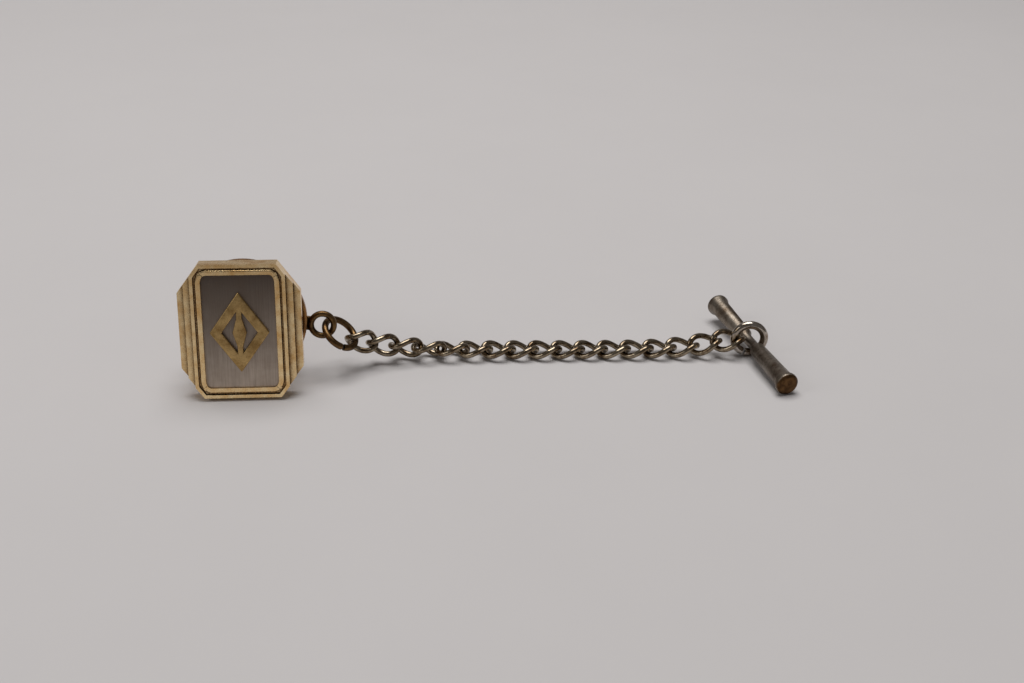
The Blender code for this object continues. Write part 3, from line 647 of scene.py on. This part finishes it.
def clutch_disc():
    web, lip = -(TIE_GAP + DISC_LIP), DISC_RADIUS - LIP_WIDTH
    inward, upward = DISC_FILLET
    return lathe("dished_disc", [(BUSH_HOLE, web), (lip - inward, web), (lip, web + upward),
                                 (lip, -TIE_GAP), (DISC_RADIUS, -TIE_GAP), (DISC_RADIUS, DISC_REAR),
                                 (BUSH_HOLE, DISC_REAR)], 128)


def clutch_housing():
    inner, floor = HOUSING_RADIUS - HOUSING_WALL, HOUSING_REAR + HOUSING_WALL
    return lathe("drawn_housing", [(inner, HOUSING_FRONT), (HOUSING_RADIUS, HOUSING_FRONT),
                                   (HOUSING_RADIUS, HOUSING_REAR), (STEM_HOLE, HOUSING_REAR),
                                   (STEM_HOLE, floor), (inner, floor)])


def pull_knob():
    inner = KNOB_WAIST - KNOB_WALL
    grip = KNOB_FRONT - (KNOB_FRONT - KNOB_REAR) / 3
    edge = [(KNOB_RADIUS - KNOB_EDGE * (1 - math.cos(turn)), KNOB_REAR + KNOB_EDGE * (1 - math.sin(turn)))
            for turn in (math.pi / 2 * step / 8 for step in range(9))]
    outside = [(0, KNOB_REAR)] + edge[::-1] + [(KNOB_RADIUS, grip), (KNOB_WAIST, KNOB_FRONT)]
    inside = [(KNOB_SOCKET, KNOB_FRONT), (KNOB_SOCKET, KNOB_FRONT - KNOB_WALL),
              (inner, KNOB_FRONT - KNOB_WALL), (inner, KNOB_REAR + KNOB_WALL), (0, KNOB_REAR + KNOB_WALL)]
    return lathe("pull_knob", outside + inside)


hand_over(clutch_disc(), TACK, "clutch", BROWN_BRASS, ["clutch_disc"], soft=0.06)
hand_over(clutch_housing(), TACK, "clutch", BROWN_BRASS, ["clutch_housing"], soft=0.08)
hand_over(pull_knob(), TACK, "release", BROWN_BRASS, ["release_knob"], soft=0.05)

# %% Post
POST_RADIUS = 0.55
POST_LENGTH = 8.5
POST_POINT = 1.3
GROOVE_AT = 6.6
GROOVE_CUT = 0.1
NAIL_HEAD_RADIUS = 0.95
NAIL_HEAD_LOW = 0.53
NAIL_HEAD_TOP = 0.7


def nail_post():
    point = -POST_LENGTH + POST_POINT
    return lathe("nail_post", [(0, NAIL_HEAD_TOP), (NAIL_HEAD_RADIUS, NAIL_HEAD_TOP),
                               (NAIL_HEAD_RADIUS, NAIL_HEAD_LOW), (POST_RADIUS, NAIL_HEAD_LOW),
                               (POST_RADIUS, -GROOVE_AT + 2 * GROOVE_CUT),
                               (POST_RADIUS - GROOVE_CUT, -GROOVE_AT),
                               (POST_RADIUS, -GROOVE_AT - 2 * GROOVE_CUT), (POST_RADIUS, point),
                               (POST_RADIUS * 0.72, point - POST_POINT * 0.4),
                               (0.05, -POST_LENGTH + 0.03), (0, -POST_LENGTH)], 64)


hand_over(nail_post(), TACK, "head", POST_STEEL, ["tack_post"], soft=0.02)

# %% [markdown]
# ## Eyelet
# The eyelet is a ring of wire with a flat tongue that is soldered behind the disc. A torus and a tongue
# are joined, and a fine remesh melts them into one skin, so that solder seems to fill the corner between
# them.

# %% Eyelet
EYELET_HOLE = 0.76
EYELET_WIRE = 0.29
EYELET_TURN = math.radians(-6)
TONGUE_WIDTH = 1.3
TONGUE_THICK = 0.35
EYELET_GAP = 0.05
EYELET_REACH = DISC_RADIUS + EYELET_GAP + EYELET_HOLE + 2 * EYELET_WIRE
MELT = 0.035


def eyelet():
    bpy.ops.mesh.primitive_torus_add(major_radius=EYELET_HOLE + EYELET_WIRE, minor_radius=EYELET_WIRE,
                                     major_segments=64, minor_segments=20,
                                     location=(EYELET_REACH, 0, DISC_REAR))
    ring = bpy.context.active_object
    low, high = HOUSING_RADIUS + EYELET_GAP, EYELET_REACH - EYELET_HOLE - EYELET_WIRE
    bpy.ops.mesh.primitive_cube_add(size=1)
    begin("tongue")
    resize(high - low, TONGUE_WIDTH, TONGUE_THICK)
    move((low + high) / 2, 0, DISC_REAR - SEAT - TONGUE_THICK / 2)
    bpy.ops.object.mode_set(mode="OBJECT")
    ring.select_set(True)
    bpy.context.view_layer.objects.active = ring
    bpy.ops.object.join()
    ring.name = ring.data.name = "wire_eyelet"
    melt = ring.modifiers.new("melt", "REMESH")
    melt.mode = "VOXEL"
    melt.voxel_size = MELT
    bpy.ops.object.modifier_apply(modifier="melt")
    smooth = ring.modifiers.new("smooth", "SMOOTH")
    smooth.factor = 0.5
    smooth.iterations = 3
    bpy.ops.object.modifier_apply(modifier="smooth")
    return ring


hand_over(eyelet(), TACK @ Matrix.Rotation(EYELET_TURN, 4, "Z"), "clutch",
          EYELET_BRASS, ["eyelet"], smooth_below=180)

# %% [markdown]
# ## Open rings
# A jump ring is a length of wire bent round until its ends nearly meet. Spinning a filled circle by less
# than a full turn makes just that, with its two cut faces. Each ring's place is read from the model: its
# centre is the middle of its box, its plane is the one its points lie closest to, and its X axis points
# to the joint with the chain. The jump ring's wire is thinner than the CAD model's 0.33 mm, because at that
# size it touches the first link at the limits of the link's swing.

# %% Rings
JUMP_OUTER = 1.955
JUMP_WIRE = 0.308
JUMP_CUT = math.radians(-82)
END_OUTER = 1.84
END_WIRE = 0.39
END_CUT = math.radians(-110)
RING_GAP = 0.22


def joint_place(name):
    return Vector(joints[name]["pos_m"])


def plane_normal(node_name):
    """The direction in which a flat piece is thinnest."""
    points = np.array([vertex.co for vertex in frame["nodes"][node_name].data.vertices])
    return Vector(np.linalg.svd(points - points.mean(axis=0), full_matrices=False)[2][2])


def ring_place(node_name, along, roughly_y):
    """Centre of a ring's box, with X along a direction and Z across its plane."""
    low, high = (Vector(corner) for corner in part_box(node_name))
    out = plane_normal(node_name)
    along = (along - out * along.dot(out)).normalized()
    if out.cross(along).dot(roughly_y) < 0:
        out = -out
    turn = Matrix((along, out.cross(along), out)).transposed().to_4x4()
    return Matrix.Translation((low + high) / 2) @ turn


def open_ring(name, outer, wire, cut_at):
    radius = outer - wire
    gap = RING_GAP / radius
    bpy.ops.mesh.primitive_circle_add(vertices=24, radius=wire, fill_type="NGON")
    piece = begin(name)
    bpy.ops.transform.rotate(value=math.pi / 2, orient_axis="X", center_override=(0, 0, 0))
    move(radius, 0, 0)
    bpy.ops.mesh.spin(steps=96, angle=2 * math.pi - gap, center=(0, 0, 0), axis=(0, 0, 1))
    bpy.ops.mesh.select_all(action="SELECT")
    bpy.ops.mesh.normals_make_consistent(inside=False)
    bpy.ops.object.mode_set(mode="OBJECT")
    middle = sum((vertex.co for vertex in piece.data.vertices), Vector()) / len(piece.data.vertices)
    turn = cut_at - math.atan2(-middle.y, -middle.x)
    piece.matrix_world = Matrix.Rotation(turn, 4, "Z")
    return piece


def make_rings():
    to_chain = joint_place("link_01_pitch") - joint_place("jump_ring_swing")
    jump = ring_place("jump_ring", to_chain, Vector((0, 1, 0)))
    hand_over(open_ring("heavy_jump_ring", JUMP_OUTER, JUMP_WIRE, JUMP_CUT), jump, "jump_ring",
              EYELET_BRASS, ["jump_ring"], soft=0.03)
    end = ring_place("end_ring", Vector((1, 0, 0)), Vector((0, 0, 1)))
    hand_over(open_ring("heavy_end_ring", END_OUTER, END_WIRE, END_CUT), end, "end_ring",
              RING_PLATE, ["end_ring"], soft=0.03)


make_rings()

# %% [markdown]
# ## Curb chain
# A curb link is an oval of wire twisted about its length, so that the chain lies flat. One link is made
# from a circle curve: it is stretched to the oval, given the wire's thickness, and twisted by a Simple
# Deform modifier that acts on the spline, so the wire stays round. The wire is thinner than the CAD model's
# 0.29 mm, because at that size two links touch at some of their joints' limits.
# Each of the seventeen copies is set between two joints: X runs from one joint to the next, and a joint's
# axis gives the link's roll.

# %% The master link
LINK_COUNT = 17
LINK_WIRE = 0.27
LINK_HALF_LENGTH = 1.48
LINK_HALF_WIDTH = 0.96
LINK_TWIST = -0.6


def master_link():
    bpy.ops.curve.primitive_bezier_circle_add(radius=1)
    link = bpy.context.active_object
    link.name = "master_link"
    link.data.bevel_depth = LINK_WIRE
    link.data.bevel_resolution = 5
    link.data.resolution_u = link.data.render_resolution_u = 6
    bpy.ops.object.mode_set(mode="EDIT")
    bpy.ops.curve.select_all(action="SELECT")
    bpy.ops.curve.subdivide(number_cuts=3)
    resize(LINK_HALF_LENGTH, LINK_HALF_WIDTH, 1)
    bpy.ops.object.mode_set(mode="OBJECT")
    twist = link.modifiers.new("twist", "SIMPLE_DEFORM")
    twist.deform_method = "TWIST"
    twist.deform_axis = "X"
    twist.angle = LINK_TWIST * 2 * LINK_HALF_LENGTH
    twist.use_apply_on_spline = True
    bpy.ops.object.convert(target="MESH")
    return bpy.context.active_object


# %% Hang the links
def chain_joint_names():
    names = [f"link_{number:02d}_{'pitch' if number % 2 else 'yaw'}" for number in range(1, LINK_COUNT + 1)]
    return names + ["end_ring_swing"]


def link_place(name, following):
    """Axes of a link between two joints: a pitch joint's axis is its Y and a yaw joint's is its Z."""
    start, end = joint_place(name), joint_place(following)
    along, axis = (end - start).normalized(), Vector(joints[name]["axis"]).normalized()
    up = along.cross(axis) if name.endswith("pitch") else axis
    turn = Matrix((along, up.cross(along), up)).transposed().to_4x4()
    return Matrix.Translation((start + end) / 2) @ turn


def hang_links():
    names = chain_joint_names()
    master = master_link()
    for number in range(1, LINK_COUNT + 1):
        link = bpy.data.objects.new(f"twisted_link_{number:02d}", master.data.copy())
        bpy.context.scene.collection.objects.link(link)
        hand_over(link, link_place(names[number - 1], names[number]), f"curb_link_{number:02d}",
                  CHAIN_PLATE, [f"curb_link_{number:02d}"], smooth_below=180)
    bpy.data.objects.remove(master)


hang_links()

# %% [markdown]
# ## Toggle bar
# The bar is turned with a thin neck for the ring and swells to a blunt lip at each end. Its long axis is
# the direction in which its points spread the most, and the neck is where it swings in the ring. The neck
# is thinner than the CAD model's 0.5 mm, to leave the ring room at the limits of the swing.

# %% Toggle bar
BAR_LENGTH = 16.4
NECK_RADIUS = 0.48
NECK_LENGTH = 1.9
SHOULDER_RADIUS = 0.74
BODY_RADIUS = 0.9
LIP_RADIUS = 1.08
LIP_LENGTH = 0.5
LIP_CHAMFER = 0.22


def bar_place():
    points = np.array([vertex.co for vertex in frame["nodes"]["toggle_bar"].data.vertices])
    along = Vector(np.linalg.svd(points - points.mean(axis=0), full_matrices=False)[2][0])
    turn = along.to_track_quat("Z", "Y").to_matrix().to_4x4()
    return Matrix.Translation(joint_place("toggle_swing")) @ turn


def toggle_bar():
    half, neck = BAR_LENGTH / 2, NECK_LENGTH / 2
    side = [(LIP_RADIUS - LIP_CHAMFER, half), (LIP_RADIUS, half - LIP_CHAMFER),
            (LIP_RADIUS, half - LIP_LENGTH), (BODY_RADIUS, half - 2 * LIP_LENGTH),
            (SHOULDER_RADIUS, neck + LIP_LENGTH), (NECK_RADIUS, neck)]
    return lathe("turned_bar", [(0, half)] + side + [(radius, -level) for radius, level in side[::-1]]
                 + [(0, -half)])


def stain_ends(bar):
    """The flat end faces and their chamfers have lost their plate and gone brown."""
    bar.data.materials.append(BAR_END)
    back = bar_place().inverted()
    worn = (BAR_LENGTH / 2 - LIP_CHAMFER / 2) * MM
    for face in bar.data.polygons:
        if abs((back @ face.center).z) > worn:
            face.material_index = 1


stain_ends(hand_over(toggle_bar(), bar_place(), "toggle_bar", BAR_PLATE, ["toggle_bar"],
                     soft=0.06))

# %% [markdown]
# ## Clutch spring
# The spring sits between the cage and the end of the housing. When the knob is pulled, the cage comes back
# and presses the coils together. A copy of the CAD spring, its doubles merged and smoothly shaded, rides on the
# clutch.


def squashing_spring():
    spring = bpy.data.objects.new("coiled_spring", frame["nodes"]["clutch_spring"].data.copy())
    bpy.context.scene.collection.objects.link(spring)
    spring.data.transform(frame["nodes"]["clutch_spring"].matrix_world)
    bpy.context.view_layer.objects.active = spring
    begin("coiled_spring")
    bpy.ops.mesh.remove_doubles(threshold=0.000001)
    bpy.ops.object.mode_set(mode="OBJECT")
    bpy.ops.object.shade_smooth_by_angle(angle=math.radians(60))
    spring.data.materials.clear()
    spring.data.materials.append(SPRING_STEEL)
    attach(spring, "clutch")
    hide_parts("clutch_spring")
    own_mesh(spring)
    bpy.ops.object.select_all(action="DESELECT")
    print("spring", len(spring.data.polygons), "faces")


squashing_spring()

# %% [markdown]
# ## What stays as it is
# The back plate, the pad that the post is soldered in, the bush and the ball lock inside the housing keep
# their CAD shapes. They are small and mostly hidden, and only need their metals.

# %% Metals for the CAD pieces that stay
STAYING = {"back_plate": GILT, "post_pad": GILT, "guide_bush": BROWN_BRASS, "wedge_ring": BROWN_BRASS,
           "clutch_spring": SPRING_STEEL, "ball_cage": SPRING_STEEL, "locking_ball_1": SPRING_STEEL,
           "locking_ball_2": SPRING_STEEL, "locking_ball_3": SPRING_STEEL}


def paint_staying():
    for name, metal in STAYING.items():
        piece = frame["nodes"][name]
        piece.data.materials.clear()
        piece.data.materials.append(metal)
    print("kept", len(STAYING), "CAD pieces")


paint_staying()

# %% [markdown]
# ## Floor and light
# The tack stands on a pale, slightly warm sheet that curves up behind it. One large soft light hangs over
# it and a weaker one fills from the left, so the metal has long soft highlights and the shadows stay
# close. Polished metal shows its surroundings, so the world is kept grey and darker than the floor.

# %% Floor
FLOOR_SIZE = 900
FLOOR_BACK = 420
FLOOR_BEND = 160
FLOOR_DROP = 0.00002    # metres, so that the pieces' lowest points don't flicker in the sheet


def paper_floor():
    material = bpy.data.materials.new("matte_paper")
    material.use_nodes = True
    shader = material.node_tree.nodes["Principled BSDF"]
    shader.inputs["Roughness"].default_value = 0.85
    shader.inputs["Specular IOR Level"].default_value = 0.2
    where = node(material, "TexCoord", {}).outputs["Object"]
    tone = mixed(material, noise(material, where, 30.0), "D0CCCB", "CBC7C6")
    material.node_tree.links.new(tone, shader.inputs["Base Color"])
    bpy.ops.mesh.primitive_plane_add(size=FLOOR_SIZE)
    floor = begin("paper_floor")
    bpy.ops.mesh.select_mode(type="EDGE")
    bpy.ops.mesh.select_all(action="DESELECT")
    cage = bmesh.from_edit_mesh(floor.data)
    for edge in cage.edges:
        edge.select_set(all(vertex.co.y > 1 for vertex in edge.verts))
    bmesh.update_edit_mesh(floor.data)
    extrude(0, 0, FLOOR_BACK)
    bpy.ops.object.mode_set(mode="OBJECT")
    soften(floor, FLOOR_BEND, 12, 60)
    floor.matrix_world = Matrix.Translation((0, 0, cad_low.z - FLOOR_DROP)) @ Matrix.Scale(MM, 4)
    bpy.ops.object.transform_apply(location=True, rotation=True, scale=True)
    bpy.ops.object.shade_smooth_by_angle(angle=math.radians(30))
    floor.data.materials.append(material)
    return floor


paper_floor()

# %% Light
def soft_light(name, place_mm, aim_mm, size_mm, watts):
    place, aim = Vector(place_mm) * MM, Vector(aim_mm) * MM
    bpy.ops.object.light_add(type="AREA", location=place)
    lamp = bpy.context.active_object
    lamp.name = name
    lamp.rotation_euler = (aim - place).to_track_quat("-Z", "Y").to_euler()
    lamp.data.size = size_mm * MM
    lamp.data.energy = watts
    print(name, watts, "W")


def light_scene():
    soft_light("overhead", (-20, 60, 420), (0, 0, 0), 300, 1.4)
    soft_light("left_fill", (-380, -160, 240), (0, 0, 0), 200, 0.25)
    world = bpy.data.worlds.new("grey_room")
    bpy.context.scene.world = world
    world.use_nodes = True
    background = world.node_tree.nodes["Background"]
    background.inputs["Color"].default_value = linear("8F8D8C")
    background.inputs["Strength"].default_value = 0.5


light_scene()
bpy.context.scene.view_settings.view_transform = "Standard"
